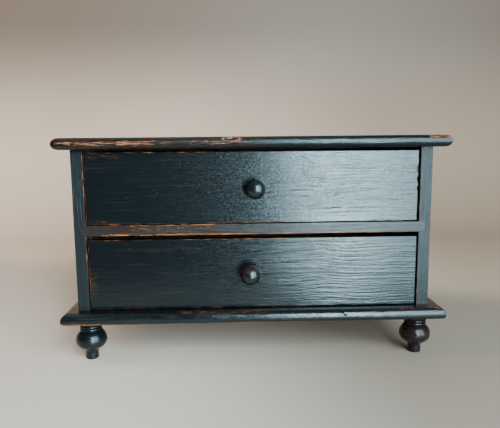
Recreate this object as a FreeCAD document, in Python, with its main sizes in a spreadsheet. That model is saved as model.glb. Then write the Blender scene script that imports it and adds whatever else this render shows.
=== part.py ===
import FreeCAD, Part
import math
import os

import Sketcher

# A small two-drawer chest for jewellery, in painted pine.
# Frame: +X to the chest's right as one faces it, +Y from the drawer fronts to the back, +Z up.
# The origin is on the floor, under the middle of the bounding box, knobs included.

V = FreeCAD.Vector

# ---------------------------------------------------------------- driving dimensions, in millimetres
SIZES = {
    # case
    "CaseWidth": 369,
    "CaseDepth": 214.5,
    "CaseHeight": 167.2,  # from the base board to the top board
    "TopWidth": 397,
    "TopThick": 11.9,
    "BaseWidth": 398.6,
    "BaseThick": 11.9,
    "Overhang": 15.5,  # how far both boards stand past the case at the front
    "SideThick": 12,
    "FootHeight": 43,
    "LowerClear": 78.8,  # clear height of the lower drawer's opening
    "RailThick": 11,
    "RailDepth": 40,
    "RailNotch": 7,  # how far the rail's ends are let into the sides
    "RunnerWidth": 14,
    "BackThick": 6,
    "BackRebate": 6,  # width of the rebate that holds the back boards
    "BackInset": 0.5,  # the back boards lie this far inside the sides' rear edges
    # base board's moulded edge
    "BaseRound": 6.5,  # the large upper round
    "BaseUnder": 4,  # the smaller lower round
    # drawers
    "FrontWidth": 341.8,
    "FrontHeight": 73.4,
    "FrontThick": 12,
    "UpperShift": -0.75,  # the upper drawer sits to the left in its opening
    "LowerShift": -0.35,
    "RunClear": 0.2,  # gap under a drawer's sides
    "FrontRise": 0.7,  # the front's lower edge is this far above the sides' lower edges
    "WallThick": 8,  # drawer sides and back
    "WallHeight": 68,
    "DrawerLength": 208,
    "PanelThick": 4,  # drawer bottom
    "GrooveRise": 5,
    "GrooveDepth": 4,
    "HousingDepth": 3,  # how far the drawer back is let into the sides
    "TailSetback": 4,  # distance of the drawer back from the sides' rear ends
    "TailLap": 4,  # wood of the front left over the ends of the dovetails
    "TailPitch": 21,
    "TailFirst": 13,  # height of the lowest dovetail's middle
    "TailWide": 16,  # a dovetail's height at its end
    "TailNarrow": 13,  # and at its root
    # knobs
    "KnobReach": 23,
    "KnobRim": 10.2,  # radius of the head at its rim
    "KnobRimReach": 14,  # distance of the rim from the drawer front
    "KnobUnder": 9.2,  # radius of the underside's outline
    "KnobNeck": 4.8,
    "KnobNeckReach": 5.4,
    "KnobCove": 5,  # radius of the cove between seat and neck
    "KnobSeat": 6.2,
    "KnobSeatThick": 1,
    "KnobTenon": 3.5,
    "UpperKnobX": 1.5,
    "LowerKnobX": -4.2,
    "UpperKnobRise": -0.7,  # height of a knob above the middle of its drawer front
    "LowerKnobRise": 1,
    # feet
    "FootInset": 24.5,  # distance of a foot's middle from the base board's edges
    "FootToe": 6.9,
    "FootToeEase": 1.2,
    "FootWaist": 6.7,
    "FootWaistTop": 7,
    "FootCove": 9.8,  # radius where the cove above the waist meets the bun
    "FootCoveTop": 12,
    "FootBun": 16.3,  # the bun's largest radius, and the height where it is
    "FootBunMiddle": 20.9,
    "FootNeck": 10.4,
    "FootNeckLow": 31.2,
    "FootNeckTop": 31.6,
    "FootBead": 1.65,  # radius of a bead's outline
    "FootBeadTall": 3,
    "FootBeadRoot": 10.6,
    "FootCollar": 13,
    "FootCollarThick": 2.4,
    "FootCollarCove": 3.4,
    "FootTenon": 5,
    "FootTenonLength": 9,
    # nails
    "NailShank": 0.7,
    "NailHead": 1.5,
    "NailHeadThick": 0.8,
    "NailPoint": 2,
    "NailProud": 0.3,
    "NailPunch": 1,  # the top board's nails are driven this far under its surface
    "TopNail": 34,
    "BaseNail": 32,
    "BackNail": 20,
    "RunnerNail": 22,
    "DrawerNail": 17,
}

# ---------------------------------------------------------------- derived places, as expressions on the sheet
FRONT = "(Sizes.KnobReach - Sizes.CaseDepth) / 2"  # the case's front face, in Y
REAR = "(Sizes.KnobReach + Sizes.CaseDepth) / 2"
EDGE = f"({FRONT} - Sizes.Overhang)"  # front edge of the top and base boards
BOARD_DEPTH = "(Sizes.CaseDepth + Sizes.Overhang)"
CASE_HALF = "(Sizes.CaseWidth / 2)"
INNER_HALF = f"({CASE_HALF} - Sizes.SideThick)"
BASE_TOP = "(Sizes.FootHeight + Sizes.BaseThick)"
RAIL_LOW = f"({BASE_TOP} + Sizes.LowerClear)"
RAIL_TOP = f"({RAIL_LOW} + Sizes.RailThick)"
CASE_TOP = f"({BASE_TOP} + Sizes.CaseHeight)"
BACK_FACE = f"({REAR} - Sizes.BackInset - Sizes.BackThick)"  # inner face of the back boards
TAIL_LENGTH = "(Sizes.FrontThick - Sizes.TailLap)"

UPRIGHT = FreeCAD.Rotation()
TO_FRONT = FreeCAD.Rotation(V(1, 0, 0), 90)  # carries +Z to -Y
TO_BACK = FreeCAD.Rotation(V(1, 0, 0), -90)  # carries +Z to +Y
TO_RIGHT = FreeCAD.Rotation(V(0, 1, 0), 90)  # carries +Z to +X
TO_LEFT = FreeCAD.Rotation(V(0, 1, 0), -90)
DOWN = FreeCAD.Rotation(V(1, 0, 0), 180)
PLANE_YZ = FreeCAD.Rotation(V(1, 1, 1), 120)  # sketch x and y lie along +Y and +Z

doc = FreeCAD.newDocument("jewellery_chest")
sheet = doc.addObject("Spreadsheet::Sheet", "Sizes")
for row, (alias, size) in enumerate(SIZES.items(), start=1):
    sheet.set(f"A{row}", alias)
    sheet.set(f"B{row}", str(size))
    sheet.setAlias(f"B{row}", alias)
doc.recompute()

sub_parts = []


# ---------------------------------------------------------------- small makers
def value(expression):
    """The number that an expression on the sheet gives."""
    return float(sheet.evalExpression(expression))


def bind(item, sizes):
    """Ties properties of an object to expressions on the sheet."""
    for name, expression in sizes.items():
        item.setExpression(name, expression)


def put(item, at, turn=UPRIGHT):
    """Turns an object and ties its place to three expressions."""
    item.Placement = FreeCAD.Placement(V(), turn)
    bind(item, {f"Placement.Base.{axis}": place for axis, place in zip("xyz", at)})


def keep(item, label):
    """Marks a finished object as a sub-part."""
    item.Label = label
    sub_parts.append(item)
    return item


def block(name, at, size):
    """A rectangular block whose lowest corner is at a place."""
    made = doc.addObject("Part::Box", name)
    bind(made, dict(zip(("Length", "Width", "Height"), size)))
    put(made, at)
    return made


def rod(name, radius, length, at, turn=UPRIGHT):
    """A round rod that starts at a place."""
    made = doc.addObject("Part::Cylinder", name)
    bind(made, {"Radius": radius, "Height": length})
    put(made, at, turn)
    return made


def joined(name, pieces):
    """One solid from several."""
    made = doc.addObject("Part::MultiFuse", name)
    made.Shapes = pieces
    return made


def cut(name, base, tools):
    """A solid with others taken away from it."""
    made = doc.addObject("Part::Cut", name)
    made.Base = base
    made.Tool = tools[0] if len(tools) == 1 else joined(f"{name}_tools", tools)
    return made


def centre_of(start, end, radius, side):
    """The centre of a short arc. It lies to the left of the way from start to end where side is 1."""
    middle = (start + end) / 2
    chord = end - start
    height = math.sqrt(max(radius**2 - (chord.Length / 2) ** 2, 0))
    return middle + V(-chord.y, chord.x, 0).normalize() * height * side


def draw(sketch, steps):
    """Draws a closed outline: each step is a corner's x and y, then, if an arc leads on from that
    corner, its radius and the side of its centre. Every corner and radius is tied to the sheet."""
    corners = [V(value(step[0]), value(step[1]), 0) for step in steps]
    ends = []
    for index, step in enumerate(steps):
        start, end = corners[index], corners[(index + 1) % len(steps)]
        if len(step) == 2:
            sketch.addGeometry(Part.LineSegment(start, end))
            ends.append((1, 2))
            continue
        radius, side = value(step[2]), step[3]
        centre = centre_of(start, end, radius, side)
        angles = [math.atan2(p.y - centre.y, p.x - centre.x) for p in (start, end)]
        ends.append((1, 2) if side > 0 else (2, 1))
        low, high = angles if side > 0 else angles[::-1]
        if high < low:
            high += 2 * math.pi
        circle = Part.Circle(centre, V(0, 0, 1), radius)
        sketch.addGeometry(Part.ArcOfCircle(circle, low, high))
    for index, step in enumerate(steps):
        following = (index + 1) % len(steps)
        joint = Sketcher.Constraint(
            "Coincident", index, ends[index][1], following, ends[following][0]
        )
        sketch.addConstraint(joint)
        ties = [("DistanceX", corners[index].x, step[0]), ("DistanceY", corners[index].y, step[1])]
        for kind, size, expression in ties:
            made = sketch.addConstraint(Sketcher.Constraint(kind, index, ends[index][0], size))
            sketch.setExpression(f"Constraints[{made}]", expression)
        if len(step) > 2:
            made = sketch.addConstraint(Sketcher.Constraint("Radius", index, value(step[2])))
            sketch.setExpression(f"Constraints[{made}]", step[2])


def extrusion(name, steps, turn, direction, length, at):
    """A drawn outline, pushed straight along a direction."""
    sketch = doc.addObject("Sketcher::SketchObject", f"{name}_outline")
    put(sketch, at, turn)
    draw(sketch, steps)
    made = doc.addObject("Part::Extrusion", name)
    made.Base = sketch
    made.DirMode = "Custom"
    made.Dir = direction
    made.Solid = True
    made.setExpression("LengthFwd", length)
    return made


def turned(label, steps, at, turn=UPRIGHT):
    """A piece turned on a lathe, from its half outline: radius across, distance along the axis up."""
    body = doc.addObject("PartDesign::Body", label)
    sketch = body.newObject("Sketcher::SketchObject", f"{label}_outline")
    plane = next(item for item in body.Origin.OriginFeatures if item.Role == "XZ_Plane")
    sketch.AttachmentSupport = [(plane, "")]
    sketch.MapMode = "FlatFace"
    draw(sketch, steps)
    revolution = body.newObject("PartDesign::Revolution", f"{label}_turning")
    revolution.Profile = sketch
    revolution.ReferenceAxis = (sketch, ["V_Axis"])
    revolution.Angle = 360
    put(body, at, turn)
    return keep(body, label)


def nail(name, length, at, turn):
    """A nail that starts with the top of its head at a place and points along the turned +Z."""
    origin = ("0", "0", "0")
    head = rod(f"{name}_head", "Sizes.NailHead", "Sizes.NailHeadThick", origin)
    shank = rod(f"{name}_shank", "Sizes.NailShank", f"{length} - Sizes.NailPoint", origin)
    point = doc.addObject("Part::Cone", f"{name}_point")
    bind(point, {"Radius1": "Sizes.NailShank", "Height": "Sizes.NailPoint"})
    point.Radius2 = 0
    put(point, ("0", "0", f"{length} - Sizes.NailPoint"))
    made = joined(name, [head, shank, point])
    put(made, at, turn)
    return made


def nails(label, length, places):
    """A group of equal nails, each a separate solid: places holds each one's three places and turn."""
    group = doc.addObject("Part::Compound", label)
    group.Links = [
        nail(f"{label}_{number}", length, place[:3], place[3])
        for number, place in enumerate(places, start=1)
    ]
    return keep(group, label)


# ---------------------------------------------------------------- top and base boards
def rounded_board(label, edge_steps, end_steps, width, floor):
    """A board with one moulding worked round its front and both ends, mitred at the corners.
    floor is the height of its underside."""
    corner = (f"-{width} / 2", EDGE, floor)
    along = extrusion(f"{label}_length", edge_steps, PLANE_YZ, V(1, 0, 0), width, corner)
    across = extrusion(f"{label}_width", end_steps, TO_FRONT, V(0, 1, 0), BOARD_DEPTH, corner)
    board = doc.addObject("Part::Common", f"{label}_moulded")
    board.Base = along
    board.Tool = across
    return board


def top_board():
    """The top: a half-round nosing at the front and the ends, square at the back."""
    thick, nose, far = "Sizes.TopThick", "Sizes.TopThick / 2", "Sizes.TopWidth"
    near_nosing = [(nose, thick, nose, 1), ("0", nose, nose, 1)]
    far_nosing = [(f"{far} - {nose}", "0", nose, 1), (far, nose, nose, 1)]
    edge = [(nose, "0"), (BOARD_DEPTH, "0"), (BOARD_DEPTH, thick), *near_nosing]
    end = [(nose, "0"), *far_nosing, (f"{far} - {nose}", thick), *near_nosing]
    board = rounded_board("top", edge, end, far, CASE_TOP)
    keep(board, "top_board")


def foot_places():
    """Each foot's name and the place of its middle."""
    side = "(Sizes.BaseWidth / 2 - Sizes.FootInset)"
    front, rear = f"({EDGE} + Sizes.FootInset)", f"({REAR} - Sizes.FootInset)"
    return {
        "foot_front_left": (f"-{side}", front),
        "foot_front_right": (side, front),
        "foot_rear_left": (f"-{side}", rear),
        "foot_rear_right": (side, rear),
    }


def base_board():
    """The base: a large round over a plain strip and a small under-round, with a socket for each foot."""
    thick, over, under = "Sizes.BaseThick", "Sizes.BaseRound", "Sizes.BaseUnder"
    step = "(Sizes.BaseThick - Sizes.BaseRound)"  # height where the large round begins
    far = "Sizes.BaseWidth"
    edge = [
        (under, "0"),
        (BOARD_DEPTH, "0"),
        (BOARD_DEPTH, thick),
        (over, thick, over, 1),
        ("0", step),
        ("0", under, under, 1),
    ]
    end = [
        (under, "0"),
        (f"{far} - {under}", "0", under, 1),
        (far, under),
        (far, step, over, 1),
        (f"{far} - {over}", thick),
        (over, thick, over, 1),
        ("0", step),
        ("0", under, under, 1),
    ]
    board = rounded_board("base", edge, end, far, "Sizes.FootHeight")
    sockets = [
        rod(f"{name}_socket", "Sizes.FootTenon", "Sizes.FootTenonLength", (x, y, "Sizes.FootHeight"))
        for name, (x, y) in foot_places().items()
    ]
    keep(cut("base_with_sockets", board, sockets), "base_board")


def swell(run, rise):
    """Radius of an arc that leaves a line parallel to a turned piece's axis: run across, rise along."""
    return f"({run} * {run} + {rise} * {rise}) / (2 * {run})"


def feet():
    """Four turned feet: a toe, a bun, two beads and a collar, with a tenon for the base board."""
    bead, root = "Sizes.FootBead", "Sizes.FootBeadRoot"
    bead_top = "(Sizes.FootNeckTop + 2 * Sizes.FootBeadTall)"
    collar = "(Sizes.FootHeight - Sizes.FootCollarThick)"
    tall = "(Sizes.FootHeight + Sizes.FootTenonLength)"
    cove = swell("(Sizes.FootCove - Sizes.FootWaist)", "(Sizes.FootCoveTop - Sizes.FootWaistTop)")
    under = swell("(Sizes.FootBun - Sizes.FootCove)", "(Sizes.FootBunMiddle - Sizes.FootCoveTop)")
    over = swell("(Sizes.FootBun - Sizes.FootNeck)", "(Sizes.FootNeckLow - Sizes.FootBunMiddle)")
    outline = [
        ("0", "0"),
        ("Sizes.FootToe - Sizes.FootToeEase", "0", "Sizes.FootToeEase", 1),
        ("Sizes.FootToe", "Sizes.FootToeEase"),
        ("Sizes.FootWaist", "Sizes.FootWaistTop", cove, -1),
        ("Sizes.FootCove", "Sizes.FootCoveTop", under, 1),
        ("Sizes.FootBun", "Sizes.FootBunMiddle", over, 1),
        ("Sizes.FootNeck", "Sizes.FootNeckLow"),
        (root, "Sizes.FootNeckTop", bead, 1),
        (root, "Sizes.FootNeckTop + Sizes.FootBeadTall", bead, 1),
        (root, bead_top, "Sizes.FootCollarCove", -1),
        ("Sizes.FootCollar", collar),
        ("Sizes.FootCollar", "Sizes.FootHeight"),
        ("Sizes.FootTenon", "Sizes.FootHeight"),
        ("Sizes.FootTenon", tall),
        ("0", tall),
    ]
    for name, (x, y) in foot_places().items():
        turned(name, outline, (x, y, "0"))


# ---------------------------------------------------------------- case
def case_side(label, sign):
    """One side board, with a notch for the rail's end and a rebate for the back boards.
    sign is -1 for the left and 1 for the right."""
    outer = "Sizes.SideThick"
    low_x = f"-{CASE_HALF}" if sign < 0 else INNER_HALF
    board = block(
        f"{label}_board", (low_x, FRONT, BASE_TOP), (outer, "Sizes.CaseDepth", "Sizes.CaseHeight")
    )

    def at_inner_face(depth):
        return f"-{INNER_HALF} - {depth}" if sign < 0 else INNER_HALF

    notch = block(
        f"{label}_notch",
        (at_inner_face("Sizes.RailNotch"), FRONT, RAIL_LOW),
        ("Sizes.RailNotch", "Sizes.RailDepth", "Sizes.RailThick"),
    )
    rebate = block(
        f"{label}_rebate",
        (at_inner_face("Sizes.BackRebate"), BACK_FACE, BASE_TOP),
        ("Sizes.BackRebate", "Sizes.BackThick + Sizes.BackInset", "Sizes.CaseHeight"),
    )
    keep(cut(f"{label}_cut", board, [notch, rebate]), label)


def rail_and_runners():
    """The rail between the drawers, and the two runners behind it that carry the upper drawer."""
    rail_half = f"({INNER_HALF} + Sizes.RailNotch)"
    rail = block(
        "rail_board",
        (f"-{rail_half}", FRONT, RAIL_LOW),
        (f"2 * {rail_half}", "Sizes.RailDepth", "Sizes.RailThick"),
    )
    keep(rail, "front_rail")
    start = f"({FRONT} + Sizes.RailDepth)"
    for label, x in (("left_runner", f"-{INNER_HALF}"), ("right_runner", f"{INNER_HALF} - Sizes.RunnerWidth")):
        runner = block(
            f"{label}_strip",
            (x, start, RAIL_LOW),
            ("Sizes.RunnerWidth", f"{BACK_FACE} - {start}", "Sizes.RailThick"),
        )
        keep(runner, label)


def back_boards():
    """Two thin boards, one above the other, in the sides' rebates."""
    half = f"({INNER_HALF} + Sizes.BackRebate)"
    tall = "(Sizes.CaseHeight / 2)"
    for label, z in (("back_lower_board", BASE_TOP), ("back_upper_board", f"{BASE_TOP} + {tall}")):
        board = block(
            f"{label}_plank", (f"-{half}", BACK_FACE, z), (f"2 * {half}", "Sizes.BackThick", tall)
        )
        keep(board, label)


def case_nails():
    """The nails that hold the top, the base, the back boards and the runners to the sides."""
    side_middle = f"({CASE_HALF} - Sizes.SideThick / 2)"
    both = (f"-{side_middle}", side_middle)
    top_depths = [f"{FRONT} + {share} * Sizes.CaseDepth" for share in (0.12, 0.5, 0.88)]
    punched = f"({CASE_TOP} + Sizes.TopThick - Sizes.NailPunch)"
    nails("top_nails", "Sizes.TopNail", [(x, y, punched, DOWN) for x in both for y in top_depths])
    base_depths = [f"{FRONT} + {share} * Sizes.CaseDepth" for share in (0.24, 0.5, 0.76)]
    proud = "Sizes.FootHeight - Sizes.NailProud"
    nails("base_nails", "Sizes.BaseNail", [(x, y, proud, UPRIGHT) for x in both for y in base_depths])

    rebate_middle = f"({INNER_HALF} + Sizes.BackRebate / 2)"
    heads = f"({REAR} - Sizes.BackInset + Sizes.NailProud)"
    heights = [f"{BASE_TOP} + {share} * Sizes.CaseHeight" for share in (0.08, 0.42, 0.58, 0.92)]
    back_edges = (f"-{rebate_middle}", rebate_middle)
    nails("back_nails", "Sizes.BackNail", [(x, heads, z, TO_FRONT) for x in back_edges for z in heights])

    runner_face = f"({INNER_HALF} - Sizes.RunnerWidth - Sizes.NailProud)"
    middle = f"({RAIL_LOW} + Sizes.RailThick / 2)"
    depths = [f"{FRONT} + {share} * Sizes.CaseDepth" for share in (0.32, 0.84)]
    left = [(f"-{runner_face}", y, middle, TO_LEFT) for y in depths]
    right = [(runner_face, y, middle, TO_RIGHT) for y in depths]
    nails("runner_nails", "Sizes.RunnerNail", left + right)


# ---------------------------------------------------------------- drawers
def drawer(name, shift, floor, knob_x, knob_rise):
    """One drawer: a front with lapped dovetails, two sides, a back, a bottom, a knob and nails.
    floor is the surface that its sides run on, and knob_rise the knob's height above the front's middle."""
    half = "(Sizes.FrontWidth / 2)"
    low = f"({floor} + Sizes.RunClear)"
    rear = f"({FRONT} + Sizes.DrawerLength)"
    root = f"({FRONT} + Sizes.FrontThick)"  # inner face of the drawer front
    groove_y = f"({root} - Sizes.GrooveDepth)"
    groove_z = f"({low} + Sizes.GrooveRise)"
    back_z = f"({groove_z} + Sizes.PanelThick)"
    back_y = f"({rear} - Sizes.TailSetback - Sizes.WallThick)"
    back_height = f"({low} + Sizes.WallHeight - {back_z})"
    panel_half = f"({half} - Sizes.WallThick + Sizes.GrooveDepth)"
    housed_half = f"({half} - Sizes.WallThick + Sizes.HousingDepth)"

    def dovetails(side, x):
        """The three dovetails on a drawer side's front end, widest at the tip."""
        made = []
        for number in range(3):
            tail = doc.addObject("Part::Wedge", f"{name}_{side}_tail_{number + 1}")
            tip, narrow = "Sizes.TailWide / 2", "Sizes.TailNarrow / 2"
            tail.Xmin, tail.X2min, tail.Ymin = 0, 0, 0
            bind(tail, {"Xmax": "Sizes.WallThick", "X2max": "Sizes.WallThick", "Ymax": TAIL_LENGTH})
            bind(tail, {"Zmin": f"-{tip}", "Zmax": tip, "Z2min": f"-{narrow}", "Z2max": narrow})
            middle = f"{low} + Sizes.TailFirst + {number} * Sizes.TailPitch"
            put(tail, (x, f"{FRONT} + Sizes.TailLap", middle))
            made.append(tail)
        return made

    all_tails = []
    for side, sign in (("left", -1), ("right", 1)):
        x = f"{shift} - {half}" if sign < 0 else f"{shift} + {half} - Sizes.WallThick"
        inner = f"{shift} + {sign} * ({half} - Sizes.WallThick)"
        tails = dovetails(side, x)
        all_tails += tails
        wall = block(
            f"{name}_{side}_wall",
            (x, root, low),
            ("Sizes.WallThick", f"{rear} - {root}", "Sizes.WallHeight"),
        )
        groove = block(
            f"{name}_{side}_groove",
            (inner if sign > 0 else f"{inner} - Sizes.GrooveDepth", groove_y, groove_z),
            ("Sizes.GrooveDepth", f"{rear} - {groove_y}", "Sizes.PanelThick"),
        )
        housing = block(
            f"{name}_{side}_housing",
            (inner if sign > 0 else f"{inner} - Sizes.HousingDepth", back_y, back_z),
            ("Sizes.HousingDepth", "Sizes.WallThick", back_height),
        )
        board = joined(f"{name}_{side}_tailed", [wall, *tails])
        keep(cut(f"{name}_{side}_cut", board, [groove, housing]), f"{name}_{side}_side")

    knob_z = f"({low} + Sizes.FrontRise + Sizes.FrontHeight / 2 + {knob_rise})"
    face = block(
        f"{name}_front_board",
        (f"{shift} - {half}", FRONT, f"{low} + Sizes.FrontRise"),
        ("Sizes.FrontWidth", "Sizes.FrontThick", "Sizes.FrontHeight"),
    )
    front_groove = block(
        f"{name}_front_groove",
        (f"{shift} - {panel_half}", groove_y, groove_z),
        (f"2 * {panel_half}", "Sizes.GrooveDepth", "Sizes.PanelThick"),
    )
    bore = rod(f"{name}_knob_bore", "Sizes.KnobTenon", "Sizes.FrontThick", (knob_x, FRONT, knob_z), TO_BACK)
    keep(cut(f"{name}_front_cut", face, [*all_tails, front_groove, bore]), f"{name}_front")

    back = block(
        f"{name}_back_board",
        (f"{shift} - {housed_half}", back_y, back_z),
        (f"2 * {housed_half}", "Sizes.WallThick", back_height),
    )
    keep(back, f"{name}_back")
    panel = block(
        f"{name}_panel",
        (f"{shift} - {panel_half}", groove_y, groove_z),
        (f"2 * {panel_half}", f"{rear} - {groove_y}", "Sizes.PanelThick"),
    )
    keep(panel, f"{name}_bottom")

    turned(f"{name}_knob", knob_outline(), (knob_x, root, knob_z), TO_FRONT)

    nail_y = f"({back_y} + Sizes.WallThick / 2)"
    under = [
        (f"{shift} + {share} * Sizes.FrontWidth", nail_y, f"{groove_z} - Sizes.NailProud", UPRIGHT)
        for share in (-0.32, 0, 0.32)
    ]
    heights = [f"{low} + {share} * Sizes.WallHeight" for share in (0.32, 0.78)]
    from_left = [(f"{shift} - {half} - Sizes.NailProud", nail_y, z, TO_RIGHT) for z in heights]
    from_right = [(f"{shift} + {half} + Sizes.NailProud", nail_y, z, TO_LEFT) for z in heights]
    nails(f"{name}_nails", "Sizes.DrawerNail", under + from_left + from_right)


def knob_outline():
    """A turned knob's half outline, from the end of its tenon to the middle of its domed head."""
    face = "Sizes.FrontThick"
    rise = "(Sizes.KnobReach - Sizes.KnobRimReach)"
    dome = f"({rise} * {rise} + Sizes.KnobRim * Sizes.KnobRim) / (2 * {rise})"  # part of a sphere
    return [
        ("0", "0"),
        ("Sizes.KnobTenon", "0"),
        ("Sizes.KnobTenon", face),
        ("Sizes.KnobSeat", face),
        ("Sizes.KnobSeat", f"{face} + Sizes.KnobSeatThick", "Sizes.KnobCove", -1),
        ("Sizes.KnobNeck", f"{face} + Sizes.KnobNeckReach", "Sizes.KnobUnder", 1),
        ("Sizes.KnobRim", f"{face} + Sizes.KnobRimReach", dome, 1),
        ("0", f"{face} + Sizes.KnobReach"),
    ]


# ---------------------------------------------------------------- build, test and write
top_board()
base_board()
feet()
case_side("left_side", -1)
case_side("right_side", 1)
rail_and_runners()
back_boards()
case_nails()
drawer("upper_drawer", "Sizes.UpperShift", RAIL_TOP, "Sizes.UpperKnobX", "Sizes.UpperKnobRise")
drawer("lower_drawer", "Sizes.LowerShift", BASE_TOP, "Sizes.LowerKnobX", "Sizes.LowerKnobRise")
doc.recompute()

for item in doc.Objects:
    if {"Invalid", "Error"} & set(item.State):
        raise RuntimeError(f"{item.Label} didn't rebuild: {item.State}")
for item in sub_parts:
    if item.Shape.isNull() or not item.Shape.isValid():
        raise RuntimeError(f"{item.Label} has no valid shape")

os.makedirs("parts", exist_ok=True)
for item in sub_parts:
    item.Shape.exportStep(os.path.join("parts", f"{item.Label}.step"))
    print(f"{item.Label}: {len(item.Shape.Solids)} solid(s), {item.Shape.Volume / 1000:.2f} cm3")
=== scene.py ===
"""A small two-drawer chest for jewellery: pine under rubbed blue-black paint, with turned feet and knobs."""
import logging
import math
from collections.abc import Callable, Iterable, Sequence
from dataclasses import dataclass, field
from enum import Enum

import bpy
from mathutils import Euler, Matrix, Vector


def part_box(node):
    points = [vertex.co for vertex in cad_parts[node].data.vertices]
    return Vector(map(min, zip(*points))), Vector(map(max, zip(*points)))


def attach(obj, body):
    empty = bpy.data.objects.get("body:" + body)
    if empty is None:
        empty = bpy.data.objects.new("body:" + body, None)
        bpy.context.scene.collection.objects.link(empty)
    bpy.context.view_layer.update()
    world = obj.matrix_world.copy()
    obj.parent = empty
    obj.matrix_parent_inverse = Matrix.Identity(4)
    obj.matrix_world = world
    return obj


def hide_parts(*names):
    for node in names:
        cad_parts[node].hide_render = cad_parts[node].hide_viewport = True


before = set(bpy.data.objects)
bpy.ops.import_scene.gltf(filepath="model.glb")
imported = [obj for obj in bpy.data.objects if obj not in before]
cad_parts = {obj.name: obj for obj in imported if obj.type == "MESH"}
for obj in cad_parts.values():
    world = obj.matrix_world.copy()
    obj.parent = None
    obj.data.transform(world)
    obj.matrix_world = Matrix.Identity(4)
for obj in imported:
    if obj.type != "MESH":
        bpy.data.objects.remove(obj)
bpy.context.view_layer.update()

LOG = logging.getLogger("chest")
MM = 0.001
SMOOTH_BELOW = 32.0
Point = tuple[float, float, float]
Colour = tuple[float, float, float]
Test = Callable[[Vector], bool]


class Axis(Enum):
    """A direction of the frame, such as the one that a board's grain runs along."""

    X = 0
    Y = 1
    Z = 2


# ---------------------------------------- shader maths


@dataclass(frozen=True)
class Number:
    """A number on a socket. Python's operators on it add Math nodes.

    Attributes:
        graph: The node graph that the socket is in.
        socket: The output socket.
    """

    graph: "Graph"
    socket: bpy.types.NodeSocket

    def _with(self, operation: str, first: "Number | float", second: "Number | float") -> "Number":
        """Adds one Math node on two numbers."""
        return self.graph.node("ShaderNodeMath", {"operation": operation}, {0: first, 1: second})

    def __add__(self, other: "Number | float") -> "Number":
        """self + other"""
        return self._with("ADD", self, other)

    def __radd__(self, other: float) -> "Number":
        """other + self"""
        return self._with("ADD", other, self)

    def __sub__(self, other: "Number | float") -> "Number":
        """self - other"""
        return self._with("SUBTRACT", self, other)

    def __rsub__(self, other: float) -> "Number":
        """other - self"""
        return self._with("SUBTRACT", other, self)

    def __mul__(self, other: "Number | float") -> "Number":
        """self * other"""
        return self._with("MULTIPLY", self, other)

    def at_most(self, other: "Number | float") -> "Number":
        """The smaller of the two."""
        return self._with("MINIMUM", self, other)

    def at_least(self, other: "Number | float") -> "Number":
        """The larger of the two."""
        return self._with("MAXIMUM", self, other)

    def ramp(self, start: float, end: float) -> "Number":
        """Turns smoothly from 0 at start to 1 at end. Start may be the larger."""
        low, high, to_low, to_high = (start, end, 0.0, 1.0) if start < end else (end, start, 1.0, 0.0)
        settings = {"interpolation_type": "SMOOTHSTEP"}
        values = {"Value": self, 1: low, 2: high, 3: to_low, 4: to_high}
        return self.graph.node("ShaderNodeMapRange", settings, values)


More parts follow.
